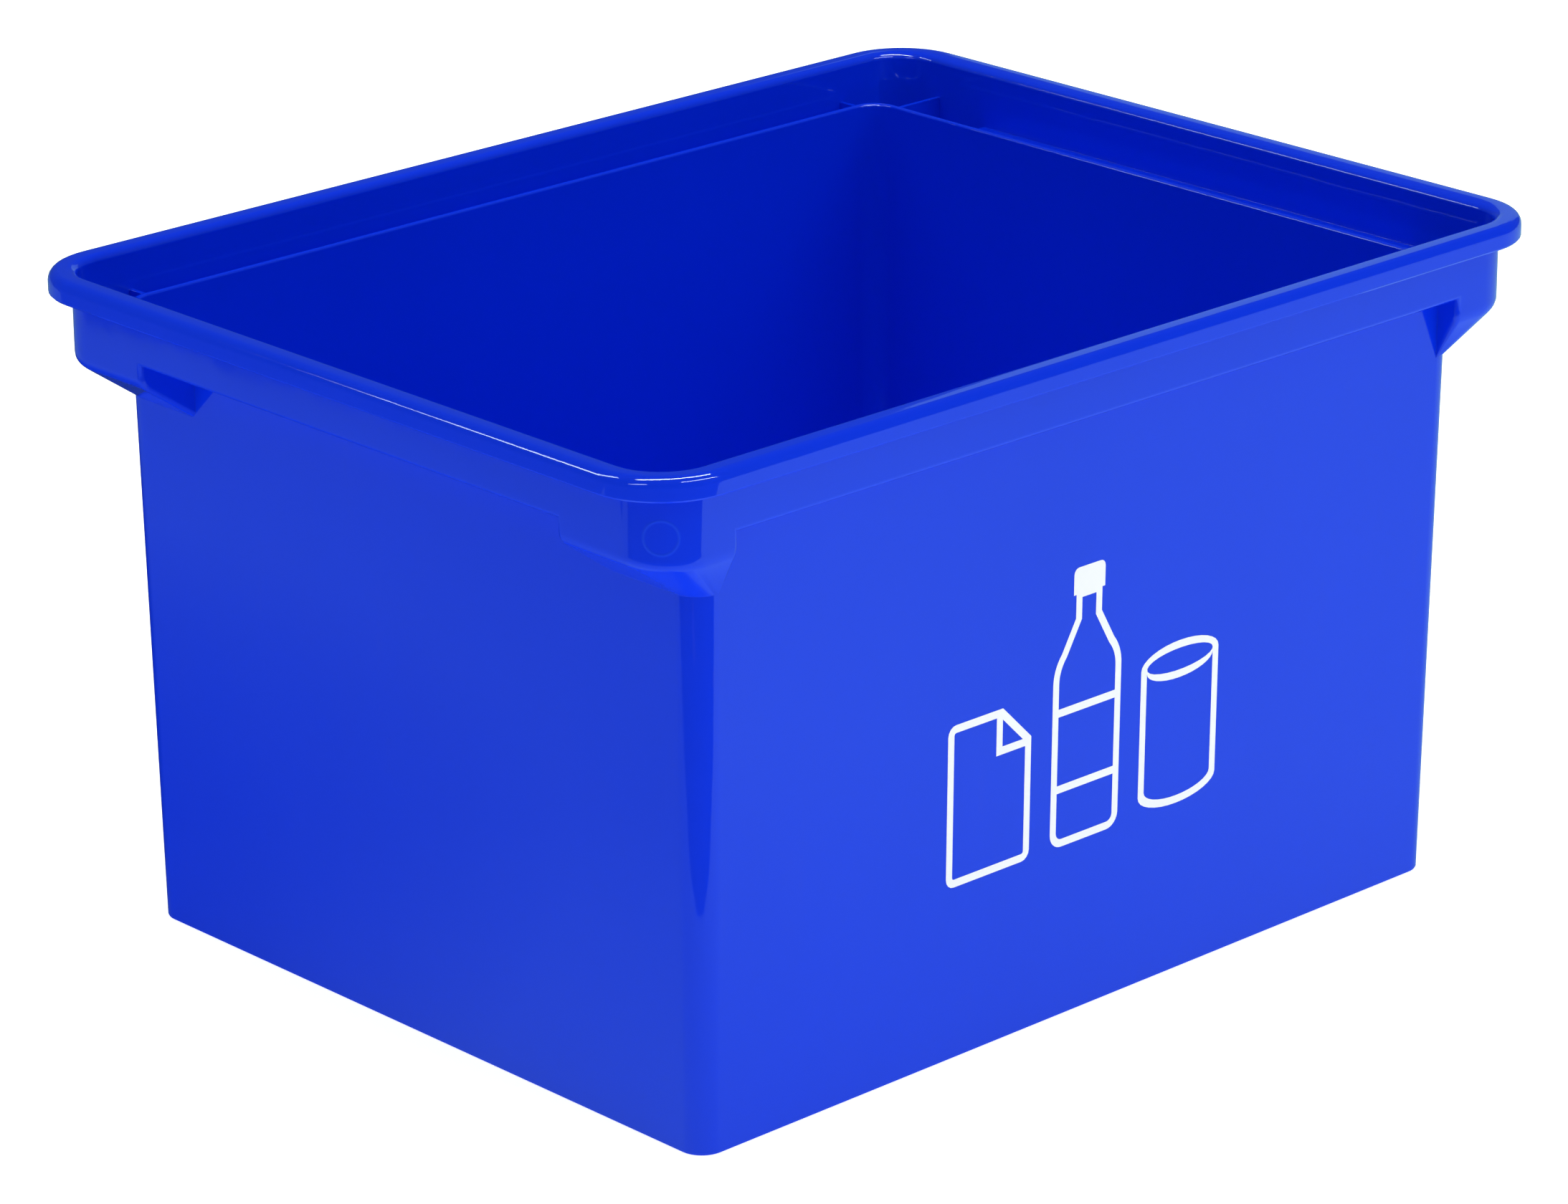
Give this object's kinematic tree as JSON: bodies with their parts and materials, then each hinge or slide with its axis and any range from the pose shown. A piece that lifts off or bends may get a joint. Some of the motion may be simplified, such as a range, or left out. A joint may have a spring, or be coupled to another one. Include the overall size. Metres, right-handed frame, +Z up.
{
  "type": "recycling bin",
  "caption": "Open-topped rectangular plastic recycling bin with a rolled rim, stepped shoulder, inner file rail, hollow corner pods and a printed pictogram on one long side.",
  "frame": {"origin": "centre of the footprint, on the surface the bin stands on", "axes": "+Z up, +X along the long sides, +Y along the short sides; the print faces -Y"},
  "size_m": [0.4648, 0.3564, 0.267],
  "materials": {
    "bin_plastic": "glossy injection-moulded polypropylene",
    "ink": "white screen-printed ink"
  },
  "bodies": {
    "root": {"tub": "bin_plastic", "printed_page": "ink", "printed_bottle": "ink", "printed_can": "ink"}
  },
  "joints": []
}
